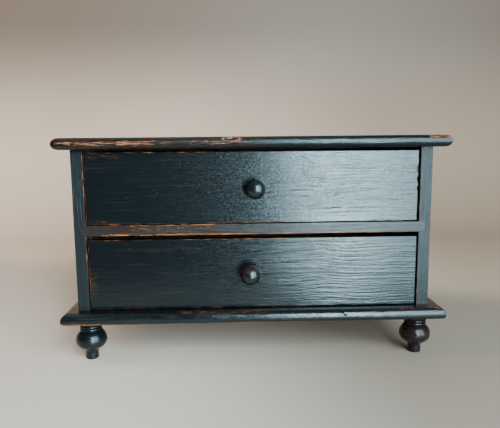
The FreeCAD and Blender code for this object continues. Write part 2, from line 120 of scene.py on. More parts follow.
class Graph:
    """The nodes of one material."""

    def __init__(self, name: str) -> None:
        """Starts an empty material.

        Args:
            name: The material's name.
        """
        self.material = bpy.data.materials.new(name)
        self.material.use_nodes = True
        self.tree = self.material.node_tree
        self.tree.nodes.clear()
        self.place = self.node("ShaderNodeTexCoord", output="Object")

    def node(
        self, kind: str, settings: dict | None = None, values: dict | None = None, output: str | int = 0
    ) -> Number:
        """Adds a node.

        Args:
            kind: The node's type.
            settings: Its settings, which are made first.
            values: What its input sockets get: a number, a colour, a vector or another output.
            output: The output that is given back.

        Returns:
            That output.
        """
        made = self.tree.nodes.new(kind)
        for name, setting in (settings or {}).items():
            setattr(made, name, setting)
        for name, value in (values or {}).items():
            if isinstance(value, Number):
                self.tree.links.new(value.socket, made.inputs[name])
            else:
                made.inputs[name].default_value = value
        return Number(self, made.outputs[output])

    def vector(self, operation: str, first: Number | Point, second: Number | Point) -> Number:
        """Adds a Vector Math node on two vectors."""
        return self.node("ShaderNodeVectorMath", {"operation": operation}, {0: first, 1: second})

    def parts(self) -> tuple[Number, Number, Number]:
        """The place's three coordinates."""
        names = "XYZ"
        x, y, z = (self.node("ShaderNodeSeparateXYZ", None, {0: self.place}, name) for name in names)
        return x, y, z

    def noise(
        self, grain: Axis, along: float, across: float, detail: float = 3.0, seed: float = 0.0, sway: float = 0.0
    ) -> Number:
        """Cloudy noise that is drawn out along the grain.

        Args:
            grain: The grain's direction.
            along: Size of its blotches along the grain, in metres.
            across: Their size across it.
            detail: How many finer layers it has.
            seed: Moves the pattern.
            sway: How far its lines wander, in metres.

        Returns:
            A number from 0 to 1, mostly near 0.5.
        """
        place = self.place
        if sway:
            values = {"Vector": place, "Scale": 16.0, "Detail": 1.0}
            drift = self.vector("SUBTRACT", self.node("ShaderNodeTexNoise", None, values, "Color"), (0.5, 0.5, 0.5))
            place = self.vector("ADD", place, self.vector("MULTIPLY", drift, (sway, sway, sway)))
        scale = [1.0 / across] * 3
        scale[grain.value] = 1.0 / along
        stretched = self.vector("MULTIPLY", place, tuple(scale))
        moved = self.vector("ADD", stretched, (seed, 1.7 * seed, 0.6 * seed))
        values = {"Vector": moved, "Scale": 1.0, "Detail": detail, "Roughness": 0.55}
        return self.node("ShaderNodeTexNoise", None, values)

    def pits(self, size: float, share: float) -> Number:
        """Small separate dots.

        Args:
            size: Spacing of the dots, in metres.
            share: Radius of a dot, as a share of the spacing.

        Returns:
            1 in a dot, 0 elsewhere.
        """
        values = {"Vector": self.place, "Scale": 1.0 / size, "Randomness": 1.0}
        return self.node("ShaderNodeTexVoronoi", None, values, "Distance").ramp(share, 0.4 * share)

    def mix(self, share: Number | float, first: Number | Colour, second: Number | Colour) -> Number:
        """Mixes two colours: all first where share is 0, all second where it is 1."""
        ends = [(*end, 1.0) if isinstance(end, tuple) else end for end in (first, second)]
        return self.node("ShaderNodeMix", {"data_type": "RGBA"}, {0: share, 6: ends[0], 7: ends[1]}, 2)

    def close(
        self, colour: Number, roughness: Number, height: Number, fixed: dict | None = None
    ) -> bpy.types.Material:
        """Adds the surface shader and ends the graph.

        Args:
            colour: Base colour.
            roughness: Roughness.
            height: Relief, in millimetres.
            fixed: Values that are the same all over, by socket name.

        Returns:
            The finished material.
        """
        normal = self.node("ShaderNodeBump", None, {"Distance": MM, "Height": height}, "Normal")
        values = {"Base Color": colour, "Roughness": roughness, "Normal": normal, **(fixed or {})}
        surface = self.node("ShaderNodeBsdfPrincipled", None, values)
        ending = self.tree.nodes.new("ShaderNodeOutputMaterial")
        self.tree.links.new(surface.socket, ending.inputs["Surface"])
        return self.material


# ---------------------------------------- finishes


@dataclass(frozen=True)
class Patch:
    """A region of a piece.

    Attributes:
        low: Its lowest corner, in metres.
        high: Its highest corner.
        fade: How far its effect reaches past the region, along each axis.
        amount: Its strength, where 1 is full.
    """

    low: Point
    high: Point
    fade: Point = (0.004, 0.004, 0.004)
    amount: float = 1.0

    def mask(self, graph: Graph) -> Number:
        """The patch's strength at each place."""
        under = graph.vector("SUBTRACT", self.low, graph.place)
        over = graph.vector("SUBTRACT", graph.place, self.high)
        outside = graph.vector("MAXIMUM", graph.vector("MAXIMUM", under, over), (0.0, 0.0, 0.0))
        scaled = graph.vector("MULTIPLY", outside, tuple(1.0 / reach for reach in self.fade))
        settings = {"operation": "LENGTH"}
        distance = graph.node("ShaderNodeVectorMath", settings, {0: scaled}, "Value")
        return (1.0 - distance).at_least(0.0) * self.amount


def total(masks: Iterable[Number]) -> Number | float:
    """The sum of some masks, or 0 where there are none."""
    summed: Number | float = 0.0
    for mask in masks:
        summed = mask + summed
    return summed


@dataclass(frozen=True)
class Pine:
    """Unpainted pine, darkened and dusty with age.

    Attributes:
        light: The wood between its growth lines.
        dark: The growth lines.
        grime: Old dirt in blotches.
    """

    light: Colour = (0.36, 0.225, 0.115)
    dark: Colour = (0.21, 0.115, 0.05)
    grime: Colour = (0.1, 0.07, 0.045)

    def surface(self, graph: Graph, grain: Axis) -> tuple[Number, Number, Number]:
        """Draws the wood.

        Args:
            graph: The material's graph.
            grain: Direction of the grain.

        Returns:
            Its colour, roughness and relief in millimetres.
        """
        bands = graph.noise(grain, 0.22, 0.0045, 2.0, 3.1).ramp(0.4, 0.66)
        fibres = graph.noise(grain, 0.03, 0.0006, 3.0, 8.4)
        dirt = graph.noise(grain, 0.06, 0.03, 4.0, 5.2).ramp(0.52, 0.8)
        colour = graph.mix(bands * 0.8 + fibres * 0.2, self.light, self.dark)
        colour = graph.mix(dirt * 0.55, colour, self.grime)
        return colour, 0.5 + fibres * 0.25, bands * 0.05 + fibres * 0.05

    def material(self, name: str, grain: Axis) -> bpy.types.Material:
        """Makes the material of a bare board."""
        graph = Graph(name)
        return graph.close(*self.surface(graph, grain))


@dataclass(frozen=True)
class Iron:
    """Dull nail iron with spots of rust.

    Attributes:
        metal: The bare iron.
        rust: The spots.
    """

    metal: Colour = (0.11, 0.1, 0.095)
    rust: Colour = (0.17, 0.07, 0.03)

    def material(self, name: str) -> bpy.types.Material:
        """Makes the nails' material."""
        graph = Graph(name)
        spots = graph.noise(Axis.Z, 0.0012, 0.0012, 4.0).ramp(0.45, 0.6)
        colour = graph.mix(spots, self.metal, self.rust)
        return graph.close(colour, 0.45 + spots * 0.35, spots * 0.03, {"Metallic": 0.7})


@dataclass(frozen=True)
class Paint:
    """Blue-black paint, brushed along the grain and rubbed through to the wood.

    Attributes:
        box: The piece's lowest and highest corners.
        grain: Direction of the grain and of the brush.
        edge: How far wear reaches from the piece's edges, in metres.
        edge_amount: Strength of that wear.
        worn: Patches that are rubbed through.
        raw: Patches that were never painted.
        ridges: Height of the brush ridges, in millimetres.
        stipple: Height of the brush's dabs, in millimetres.
        rough: Roughness of the paint.
        gloss: How strongly the paint mirrors, where 0.5 is a plain varnish.
        mottle: How much the roughness varies from streak to streak.
        brown: How much brown shows through the paint all over.
        seed: Moves every pattern.
        brushed: Where along X the brush ridges begin, and where they reach their full height.
        dabbed: Where along X the brush's dabs begin, and where they reach their full height.
        film: The paint's colour.
        dusty: Its colour in the streaks that hold dust.
        thin: Its colour where it is rubbed thin.
        wood: The darker tone of the rubbed wood.
        pale: The lighter tone of the rubbed wood.
        bare: The wood where it was never painted. Its default is pine darkened as painted shade for the case's inner
            and under faces; the drawer fronts use plain pine.
    """

    box: tuple[Vector, Vector]
    grain: Axis = Axis.X
    edge: float = 1.6 * MM
    edge_amount: float = 0.75
    worn: tuple[Patch, ...] = ()
    raw: tuple[Patch, ...] = ()
    ridges: float = 0.3
    stipple: float = 0.12
    rough: float = 0.22
    gloss: float = 0.5
    mottle: float = 0.2
    brown: float = 0.0
    seed: float = 0.0
    brushed: tuple[float, float] = (-1.0, -0.9)
    dabbed: tuple[float, float] = (-1.0, -0.9)
    film: Colour = (0.0024, 0.0036, 0.0046)
    dusty: Colour = (0.0095, 0.0092, 0.009)
    thin: Colour = (0.02, 0.0075, 0.004)
    wood: Colour = (0.17, 0.045, 0.011)
    pale: Colour = (0.32, 0.125, 0.038)
    # Darkened pine: painted shade for the case's inner and under faces.
    bare: Pine = Pine((0.15, 0.095, 0.05), (0.09, 0.05, 0.026), (0.04, 0.03, 0.02))

    def edge_mask(self, graph: Graph) -> Number:
        """1 on the piece's edges, falling to 0 at the reach of the wear."""
        gaps = []
        for place, low, high in zip(graph.parts(), *self.box):
            gaps.append((place - low).at_most(high - place))
        first, second, third = gaps
        middle = first.at_most(second).at_least(first.at_least(second).at_most(third))
        return middle.ramp(self.edge, 0.0)

    def material(self, name: str) -> bpy.types.Material:
        """Makes the painted material.

        Args:
            name: The material's name.

        Returns:
            The material.
        """
        graph = Graph(name)
        streaks = graph.noise(self.grain, 0.01, 0.0006, 3.0, self.seed)
        blotches = graph.noise(self.grain, 0.03, 0.006, 3.0, self.seed + 4.0)
        orange_peel = graph.noise(self.grain, 0.0032, 0.0017, 2.0, self.seed + 1.0)
        rubbing = total(patch.mask(graph) for patch in self.worn) + self.edge_mask(graph) * self.edge_amount
        speckle = 1.0 + (streaks - 0.5) * 7.0 + (blotches - 0.5) * 2.0 + (orange_peel - 0.5) * 1.5
        score = (rubbing + self.brown) * speckle
        thinned, bared = score.ramp(0.15, 0.6), score.ramp(0.62, 1.05)

        wood_tone = graph.noise(self.grain, 0.02, 0.0016, 3.0, self.seed + 9.0).ramp(0.35, 0.75)
        wood = graph.mix(wood_tone, self.wood, self.pale)
        dust = graph.noise(self.grain, 0.05, 0.0013, 4.0, self.seed + 12.0).ramp(0.5, 0.78)
        film = graph.mix(dust, self.film, self.dusty)
        colour = graph.mix(bared, graph.mix(thinned, film, self.thin), wood)

        ridges = graph.noise(self.grain, 0.055, 0.0021, 3.0, self.seed + 2.0, 0.009)
        strength = graph.noise(self.grain, 0.12, 0.05, 1.0, self.seed + 6.0).ramp(0.3, 0.6)
        x = graph.parts()[0]
        strength, dabs = strength * x.ramp(*self.brushed), x.ramp(*self.dabbed) * 0.85 + 0.15
        pits = graph.pits(0.011, 0.055)
        height = ridges * (0.2 + strength) * self.ridges + orange_peel * dabs * (1.2 - strength) * self.stipple
        height = height - pits * 0.1 - bared * 0.05 + bared * streaks * 0.1
        roughness = self.rough + (orange_peel - 0.5) * dabs * 0.22 + (ridges - 0.5) * strength * 0.6
        roughness = roughness + (streaks - 0.5) * self.mottle
        roughness = roughness + thinned * 0.06 + bared * 0.3

        if self.raw:
            # On the case's pieces this bare wood is the darkened pine: painted shade for the inside of the case.
            bare, bare_roughness, bare_height = self.bare.surface(graph, self.grain)
            unpainted = total(patch.mask(graph) for patch in self.raw).ramp(0.3, 0.7)
            colour = graph.mix(unpainted, colour, bare)
            roughness = roughness + (bare_roughness - roughness) * unpainted
            height = height + (bare_height - height) * unpainted
        # The Specular Tint colours the paint's reflections cyan, standing in for the blue window light: painted
        # light colour in the sheen.
        fixed = {"Specular IOR Level": self.gloss, "Specular Tint": (0.78, 0.95, 1.0, 1.0)}
        return graph.close(colour, roughness, height, fixed)


# ---------------------------------------- bench work


def deselect() -> None:
    """Leaves edit mode and deselects every object."""
    if bpy.context.object and bpy.context.object.mode != "OBJECT":
        bpy.ops.object.mode_set(mode="OBJECT")
    bpy.ops.object.select_all(action="DESELECT")


def take(thing: bpy.types.Object) -> None:
    """Makes one object the only selected and active one."""
    deselect()
    thing.select_set(True)
    bpy.context.view_layer.objects.active = thing


def select_parts(thing: bpy.types.Object, kind: str, test: Callable) -> None:
    """Selects parts of a mesh and leaves it in edit mode.

    Args:
        thing: The mesh object.
        kind: VERT, EDGE or FACE.
        test: Gets a vertex's place, an edge's two places, or a face's centre and normal.
    """
    take(thing)
    bpy.ops.object.mode_set(mode="EDIT")
    bpy.ops.mesh.select_mode(type=kind)
    bpy.ops.mesh.select_all(action="DESELECT")
    bpy.ops.object.mode_set(mode="OBJECT")
    mesh = thing.data
    places = [vertex.co for vertex in mesh.vertices]
    if kind == "VERT":
        for vertex in mesh.vertices:
            vertex.select = test(vertex.co)
    elif kind == "EDGE":
        for edge in mesh.edges:
            edge.select = test(places[edge.vertices[0]], places[edge.vertices[1]])
    else:
        for face in mesh.polygons:
            face.select = test(face.center, face.normal)
    bpy.ops.object.mode_set(mode="EDIT")


def block(name: str, low: Vector, high: Vector) -> bpy.types.Object:
    """Adds a block between two corners, with its place in its mesh."""
    deselect()
    bpy.ops.mesh.primitive_cube_add(size=1.0, location=(low + high) / 2)
    made = bpy.context.object
    made.name = made.data.name = name
    made.scale = high - low
    bpy.ops.object.transform_apply(location=True, rotation=True, scale=True)
    return made


def apply_modifier(thing: bpy.types.Object, kind: str, settings: dict) -> None:
    """Adds a modifier with some settings and applies it."""
    take(thing)
    modifier = thing.modifiers.new(kind.lower(), kind)
    for name, setting in settings.items():
        setattr(modifier, name, setting)
    bpy.ops.object.modifier_apply(modifier=modifier.name)


def ease(thing: bpy.types.Object, width: float, segments: int, above: float) -> None:
    """Bevels the edges that turn by more than an angle in degrees."""
    settings = {"width": width, "segments": segments, "limit_method": "ANGLE", "angle_limit": math.radians(above)}
    apply_modifier(thing, "BEVEL", settings)


def subtract(thing: bpy.types.Object, cutters: Sequence[bpy.types.Object]) -> None:
    """Cuts some objects out of another and deletes them."""
    for cutter in cutters:
        apply_modifier(thing, "BOOLEAN", {"operation": "DIFFERENCE", "object": cutter, "solver": "EXACT"})
        bpy.data.objects.remove(cutter)


def copy_of_node(node: str) -> bpy.types.Object:
    """A copy of a node of the frame, with its triangles joined."""
    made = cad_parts[node].copy()
    made.data = made.data.copy()
    made.parent = None
    for key in list(made.keys()):
        if key.startswith("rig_"):
            del made[key]
    made.name = f"{node}_cutter"
    bpy.context.scene.collection.objects.link(made)
    take(made)
    bpy.ops.object.mode_set(mode="EDIT")
    bpy.ops.mesh.select_all(action="SELECT")
    bpy.ops.mesh.remove_doubles(threshold=1e-6)
    bpy.ops.object.mode_set(mode="OBJECT")
    return made


def roughen(thing: bpy.types.Object, size: Point, depth: float, test: Test | None = None) -> None:
    """Moves a mesh's points in and out along their normals by cloudy noise, but never out of the mesh's box.

    Args:
        thing: The mesh object.
        size: Size of the noise's blotches along X, Y and Z, in metres.
        depth: Distance between its highest and lowest points, in metres.
        test: Picks the points that move, by place. All move where it is left out.
    """
    deselect()
    bpy.ops.object.empty_add(location=(0.013, 0.007, 0.003))
    ruler = bpy.context.object
    ruler.scale = size
    noise = bpy.data.textures.new("bench_noise", "CLOUDS")
    noise.noise_scale = 1.0
    noise.noise_depth = 2
    settings = {"texture": noise, "texture_coords": "OBJECT", "texture_coords_object": ruler}
    settings |= {"strength": depth, "mid_level": 0.5}
    places = [vertex.co.copy() for vertex in thing.data.vertices]
    limits = [(min(place[axis] for place in places), max(place[axis] for place in places)) for axis in range(3)]
    if test:
        group = thing.vertex_groups.new(name="touched")
        group.add([vertex.index for vertex in thing.data.vertices if test(vertex.co)], 1.0, "REPLACE")
        settings["vertex_group"] = group.name
    bpy.context.view_layer.update()
    apply_modifier(thing, "DISPLACE", settings)
    for vertex in thing.data.vertices:
        vertex.co = [min(max(part, low), high) for part, (low, high) in zip(vertex.co, limits)]
    thing.vertex_groups.clear()
    bpy.data.objects.remove(ruler)
    bpy.data.textures.remove(noise)


def divide(thing: bpy.types.Object, axis: Axis, cuts: int) -> None:
    """Subdivides every edge that runs along an axis."""
    others = [other.value for other in Axis if other is not axis]

    def along(start: Vector, end: Vector) -> bool:
        """Says whether an edge runs along the axis."""
        run = end - start
        return abs(run[axis.value]) > 8 * max(abs(run[other]) for other in others)

    select_parts(thing, "EDGE", along)
    bpy.ops.mesh.subdivide(number_cuts=cuts)
    bpy.ops.object.mode_set(mode="OBJECT")


def round_edges(thing: bpy.types.Object, radius: float, segments: int, test: Callable) -> None:
    """Rounds the edges that a test picks by their two ends."""
    select_parts(thing, "EDGE", test)
    bpy.ops.mesh.bevel(offset=radius, segments=segments, profile=0.5, clamp_overlap=True)
    bpy.ops.mesh.select_all(action="SELECT")
    bpy.ops.mesh.remove_doubles(threshold=1e-5)
    bpy.ops.object.mode_set(mode="OBJECT")


def tidy(thing: bpy.types.Object) -> None:
    """Joins doubles, turns the faces outwards and smooths the shading of all but sharp edges."""
    take(thing)
    bpy.ops.object.mode_set(mode="EDIT")
    bpy.ops.mesh.select_all(action="SELECT")
    bpy.ops.mesh.remove_doubles(threshold=2e-6)
    bpy.ops.mesh.normals_make_consistent(inside=False)
    bpy.ops.object.mode_set(mode="OBJECT")
    bpy.ops.object.shade_smooth_by_angle(angle=math.radians(SMOOTH_BELOW))
    apply_modifier(thing, "WEIGHTED_NORMAL", {"keep_sharp": True, "weight": 80})


def hand_over(thing: bpy.types.Object, node: str, body: str, material: bpy.types.Material) -> None:
    """Gives a painted piece its material, its body and the node that it stands for.

    Args:
        thing: The piece.
        node: The node that it replaces.
        body: The body that it rides on.
        material: Its material.
    """
    thing.name = thing.data.name = f"{node}_finished"
    thing.data.materials.clear()
    thing.data.materials.append(material)
    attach(thing, body)
    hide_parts(node)
    LOG.info("%s: %d faces, on %s", thing.name, len(thing.data.polygons), body)


def dress_node(node: str, material: bpy.types.Material) -> None:
    """Puts a material on a node of the frame that keeps its shape."""
    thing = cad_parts[node]
    thing.data.materials.clear()
    thing.data.materials.append(material)
    LOG.info("%s keeps its shape, with %s", node, material.name)


@dataclass(frozen=True)
class Chip:
    """A small bite out of a surface.

    Attributes:
        centre: Its middle, in metres.
        size: Its three full widths.
        turn: Its turn about X, Y and Z, in degrees.
    """

    centre: Point
    size: Point
    turn: Point = (0.0, 0.0, 0.0)

    def cutter(self) -> bpy.types.Object:
        """Makes the shape that is cut away: a facetted, uneven pebble."""
        deselect()
        bpy.ops.mesh.primitive_ico_sphere_add(subdivisions=2, radius=0.5, location=self.centre)
        made = bpy.context.object
        made.scale = self.size
        made.rotation_euler = Euler([math.radians(part) for part in self.turn])
        bpy.ops.object.transform_apply(location=True, rotation=True, scale=True)
        roughen(made, (min(self.size),) * 3, 0.25 * min(self.size))
        return made


class Outline:
    """Half the outline of a turned piece: distance from the axis, and place along it."""

    def __init__(self, radius: float, place: float) -> None:
        """Starts the outline at a point, in millimetres."""
        self.points = [Vector((radius, place))]

    def line(self, radius: float, place: float) -> "Outline":
        """Adds a straight stretch to a point."""
        self.points.append(Vector((radius, place)))
        return self

    def arc(self, radius: float, place: float, bend: float, steps: int = 6) -> "Outline":
        """Adds a round stretch to a point.

        Args:
            radius: The point's distance from the axis.
            place: Its place along the axis.
            bend: The arc's radius, negative where it is hollow.
            steps: How many short pieces it has.

        Returns:
            The outline itself.
        """
        start, end = self.points[-1], Vector((radius, place))
        chord = end - start
        inwards = Vector((-chord.y, chord.x)).normalized() * math.copysign(1.0, bend)
        centre = (start + end) / 2 + inwards * math.sqrt(max(bend**2 - (chord.length / 2) ** 2, 0.0))
        first, last = start - centre, end - centre
        sweep = math.acos(max(-1.0, min(1.0, first.dot(last) / bend**2))) * math.copysign(1.0, bend)
        for step in range(1, steps + 1):
            angle = sweep * step / steps
            turned = Vector((
                first.x * math.cos(angle) - first.y * math.sin(angle),
                first.x * math.sin(angle) + first.y * math.cos(angle),
            ))
            self.points.append(centre + turned)
        return self

    def swell(self, radius: float, place: float, upright: float, steps: int) -> "Outline":
        """Adds a round stretch that runs parallel to the axis where its radius is a given one.

        Args:
            radius: The end point's distance from the axis.
            place: The end point's place along the axis.
            upright: The stretch's radius at the end that is parallel to the axis.
            steps: How many short pieces it has.

        Returns:
            The outline itself.
        """
        start = self.points[-1]
        run, rise = abs(radius - start.x), abs(place - start.y)
        bend = (run**2 + rise**2) / (2 * run)
        hollow = upright < max(radius, start.x) - 0.01
        return self.arc(radius, place, -bend if hollow else bend, steps)

    def turn(self, name: str, foot: Vector, axis: Vector, sides: int = 56) -> bpy.types.Object:
        """Spins the outline into a closed piece.

        Args:
            name: The piece's name.
            foot: The point on the axis where the outline's places start.
            axis: The axis's direction.
            sides: How many faces it has round the axis.

        Returns:
            The mesh object.
        """
        out = Vector((1.0, 0.0, 0.0))
        places = [foot + (out * point.x + axis * point.y) * MM for point in self.points]
        deselect()
        bpy.ops.mesh.primitive_plane_add(size=MM, location=places[0])
        made = bpy.context.object
        made.name = made.data.name = name
        bpy.ops.object.transform_apply(location=True, rotation=True, scale=True)
        bpy.ops.object.mode_set(mode="EDIT")
        bpy.ops.mesh.select_mode(type="VERT")
        bpy.ops.mesh.select_all(action="SELECT")
        bpy.ops.mesh.merge(type="CENTER")
        for start, end in zip(places, places[1:]):
            bpy.ops.mesh.extrude_region_move(TRANSFORM_OT_translate={"value": end - start})
        bpy.ops.mesh.select_all(action="SELECT")
        bpy.ops.mesh.spin(steps=sides, angle=2 * math.pi, center=foot, axis=axis)
        bpy.ops.mesh.select_all(action="SELECT")
        bpy.ops.mesh.remove_doubles(threshold=5e-6)
        bpy.ops.object.mode_set(mode="OBJECT")
        tidy(made)
        return made


# ---------------------------------------- case


@dataclass
class Case:
    """The chest's case: top and base boards, sides, rail, back, runners and feet.

    Attributes:
        body: The body that its pieces ride on.
        nosing_gap: Height of the flat left between the top board's two roundings, halved.
        base_round: Radius of the base board's upper moulding.
        base_under: Radius of its lower one.
        arris: Width of the moulded boards' eased corners.
        thin_arris: Width of the sides' and the rail's eased edges.
        rim: How far the moulded boards' coarser wear reaches from their edges.
        pitch: Length of a board's divisions.
        foot_nodes: The four feet's nodes.
        back_rebate: Depth of the sides' rebates for the back boards.
        front: Where the sides' front edges are, along Y.
    """

    body: str = "case"
    nosing_gap: float = 0.03 * MM
    base_round: float = 6.5 * MM
    base_under: float = 4.0 * MM
    arris: float = 0.7 * MM
    thin_arris: float = 0.5 * MM
    rim: float = 3.0 * MM
    pitch: float = 4.5 * MM
    foot_nodes: tuple[str, ...] = ("foot_front_left", "foot_front_right", "foot_rear_left", "foot_rear_right")
    back_rebate: float = 6.0 * MM
    front: float = field(init=False)

    def __post_init__(self) -> None:
        """Reads where the case's front face is."""
        self.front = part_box("left_side")[0].y

    def build(self) -> None:
        """Builds and dresses the whole case."""
        self.top_board()
        self.base_board()
        for side in (-1, 1):
            self.side_board(side)
        self.rail()
        self.feet()
        self.bare_parts()

    def _moulded_edge(self, low: Vector, high: Vector, place: float) -> Test:
        """A test for the front and end edges of a board at one height."""

        def picked(start: Vector, end: Vector) -> bool:
            """Says whether an edge lies along the front or an end."""
            level = abs(start.z - place) < 1e-5 and abs(end.z - place) < 1e-5
            at_front = abs(start.y - low.y) < 1e-5 and abs(end.y - low.y) < 1e-5
            at_end = any(abs(start.x - x) < 1e-5 and abs(end.x - x) < 1e-5 for x in (low.x, high.x))
            return level and (at_front or at_end)

        return picked

    def _finish_board(self, board: bpy.types.Object, low: Vector, high: Vector) -> None:
        """Divides a moulded board and eases its corners."""
        divide(board, Axis.X, round((high.x - low.x) / self.pitch))
        divide(board, Axis.Y, round((high.y - low.y) / self.pitch / 1.5))
        ease(board, self.arris, 3, 30)

    def _wear_board(self, board: bpy.types.Object, low: Vector, high: Vector, broad: float, fine: float) -> None:
        """Makes a moulded board uneven, and its front and right end more so.

        Args:
            board: The board.
            low: Its lowest corner.
            high: Its highest corner.
            broad: Height of the unevenness all over, in metres.
            fine: Size along X of the small dents at the front and the right end, in metres.
        """
        front, end = low.y + self.rim, high.x - self.rim
        roughen(board, (0.03, 0.03, 0.02), broad)
        roughen(board, (fine, 0.004, 0.004), 0.5 * MM, lambda co: co.y < front or co.x > end)

    def top_board(self) -> None:
        """The top board: half-round nosing, a deep chip in the front edge and small ones at the right end."""
        low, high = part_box("top_board")
        board = block("top", low, high)
        nose = (high.z - low.z) / 2 - self.nosing_gap
        for place in (low.z, high.z):
            round_edges(board, nose, 7, self._moulded_edge(low, high, place))
        self._finish_board(board, low, high)
        self._wear_board(board, low, high, 0.35 * MM, 0.008)
        chip = Chip((-22 * MM, low.y + 1.3 * MM, high.z - 2.1 * MM), (14 * MM, 5 * MM, 3.6 * MM), (35, 3, 4))
        behind, under = low.y + 2.4 * MM, high.z - 0.7 * MM
        nicks = [
            Chip((high.x - away * MM, behind, under), (size * MM, 4 * MM, 2 * MM), (25, 0, 0))
            for away, size in ((20, 3.0), (15, 2.2), (9, 3.6), (4.5, 3.0))
        ]
        subtract(board, [part.cutter() for part in (chip, *nicks)])
        tidy(board)
        hand_over(board, "top_board", self.body, self.top_paint(low, high, chip))

    def top_paint(self, low: Vector, high: Vector, chip: Chip) -> bpy.types.Material:
        """The top's paint: a band rubbed bare along the left of the nosing, and brown further on."""
        middle, nose = (low.z + high.z) / 2, low.y + 0.9 * MM
        band_low, band_high = middle - 0.6 * MM, middle + 1.4 * MM
        fade = (0.012, 0.0012, 0.0018)
        stretches = (
            (-0.19, -0.178, 0.16), (-0.174, -0.156, 0.42), (-0.15, -0.13, 0.24),
            (-0.125, -0.103, 0.42), (-0.09, -0.05, 0.12), (-0.04, -0.03, 0.2),
        )
        band = [
            Patch((start, low.y, band_low), (end, nose, band_high), fade, amount)
            for start, end, amount in stretches
        ]
        half = Vector(chip.size) / 2
        worn = (
            *band,
            Patch((low.x, low.y, low.z), (low.x + 0.19, nose + 2.5 * MM, high.z), (0.05, 0.003, 0.003), 0.3),
            Patch(
                (high.x - 0.022, low.y, high.z - 1.5 * MM), (high.x, low.y + 4 * MM, high.z), (0.004,) * 3, 0.7
            ),
            Patch(chip.centre, chip.centre, tuple(1.7 * half), 2.4),
            Patch(chip.centre, chip.centre, tuple(1.15 * half), -7.0),
        )
        inside, behind = 28 * MM, self.front + 18 * MM
        raw = (Patch((low.x + inside, behind, low.z), (high.x - inside, high.y - 8 * MM, low.z)),)
        paint = Paint(
            (low, high), worn=worn, raw=raw, edge_amount=0.2, gloss=0.3, rough=0.3, mottle=0.5, seed=1.0
        )
        return paint.material("paint_top")

    def base_board(self) -> None:
        """The base board: a large upper round, a small lower one, a crack and the feet's sockets."""
        low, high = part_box("base_board")
        board = block("base", low, high)
        round_edges(board, self.base_round, 7, self._moulded_edge(low, high, high.z))
        round_edges(board, self.base_under, 4, self._moulded_edge(low, high, low.z))
        self._finish_board(board, low, high)
        self._wear_board(board, low, high, 0.3 * MM, 0.007)
        crack = Chip((93 * MM, low.y + 2.6 * MM, high.z - 4.6 * MM), (11 * MM, 6 * MM, 1.5 * MM), (0, 52, 0))
        in_corner = (high.x - 0.5 * MM, low.y + 0.5 * MM, high.z - 5 * MM)
        corner = Chip(in_corner, (4 * MM, 4 * MM, 3 * MM), (0, 20, 30))
        subtract(board, [part.cutter() for part in (crack, corner)])
        subtract(board, [copy_of_node(node) for node in self.foot_nodes])
        tidy(board)
        hand_over(board, "base_board", self.body, self.base_paint(low, high))

    def base_paint(self, low: Vector, high: Vector) -> bpy.types.Material:
        """The base's paint: bare along its lower edge at the left, and rubbed on its upper round."""
        thin = (0.02, 0.002, 0.0009)
        lowest, highest, face = low.z + 0.9 * MM, high.z - 1.2 * MM, low.y + 3 * MM
        left, right, front = low.x, high.x, low.y
        places = (
            ((left + 0.002, front, low.z), (left + 0.03, face, low.z + 1.8 * MM), thin, 1.0),
            ((left + 0.03, front, low.z), (left + 0.055, face, lowest), thin, 0.8),
            ((-0.02, front, low.z), (0.05, face, lowest), thin, 0.75),
            ((-0.075, face, highest), (0.02, front + 8 * MM, high.z), (0.012, 0.001, 0.001), 0.4),
            ((right - 0.045, front + 4 * MM, highest), (right, front + 5 * MM, high.z), (0.01, 0.001, 0.001), 0.5),
            ((right - 0.008, front, high.z - 4 * MM), (right, front + 0.03, high.z), (0.003, 0.01, 0.002), 0.34),
            ((right - 0.04, front, low.z), (right, front + 0.02, lowest), (0.01, 0.01, 0.001), 0.55),
        )
        worn = tuple(Patch(*place) for place in places)
        inside, behind, margin = 28 * MM, self.front + 19 * MM, 6 * MM
        raw = (
            Patch((left + inside, behind, high.z), (right - inside, high.y - 8 * MM, high.z), (0.003,) * 3),
            Patch((left + margin, front + margin, low.z), (right - margin, high.y, low.z), (0.004, 0.004, 0.001)),
        )
        paint = Paint(
            (low, high), worn=worn, raw=raw, edge_amount=0.16, gloss=0.45, rough=0.25, mottle=0.4, seed=2.0
        )
        return paint.material("paint_base")

    def side_board(self, side: int) -> None:
        """One side board, with the rail's notch and the back's rebate.

        Args:
            side: -1 for the left one, 1 for the right one.
        """
        node = "left_side" if side < 0 else "right_side"
        low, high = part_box(node)
        board = block(node, low, high)
        inner = high.x if side < 0 else low.x
        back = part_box("back_lower_board")[0].y
        corners = (inner - self.back_rebate, back, low.z - MM), (inner + self.back_rebate, high.y + MM, high.z + MM)
        rebate = block("rebate", *map(Vector, corners))
        subtract(board, [rebate, copy_of_node("front_rail")])
        divide(board, Axis.Z, round((high.z - low.z) / self.pitch))
        ease(board, self.thin_arris, 2, 50)
        roughen(board, (0.02, 0.02, 0.03), 0.2 * MM)
        tidy(board)
        raw = (Patch((inner, self.front + 0.012, low.z), (inner, high.y, high.z), (0.0012, 0.002, 0.001)),)
        if side < 0:
            strip, face = 0.4 * MM, self.front + 0.6 * MM
            corners = (inner - strip, low.y, low.z + 0.05), (inner + strip, face, high.z)
            worn, mottle, brown = (Patch(*corners, (0.0005, 0.001, 0.02), 0.3),), 0.3, 0.04
        else:
            worn, mottle, brown = (), 0.9, 0.16
        paint = Paint(
            (low, high), Axis.Z, worn=worn, raw=raw, edge_amount=0.3, rough=0.34, gloss=0.17, ridges=0.7,
            stipple=0.2, mottle=mottle, brown=brown, seed=3.0 + side, film=(0.009, 0.0115, 0.0135),
        )
        hand_over(board, node, self.body, paint.material(f"paint_{node}"))

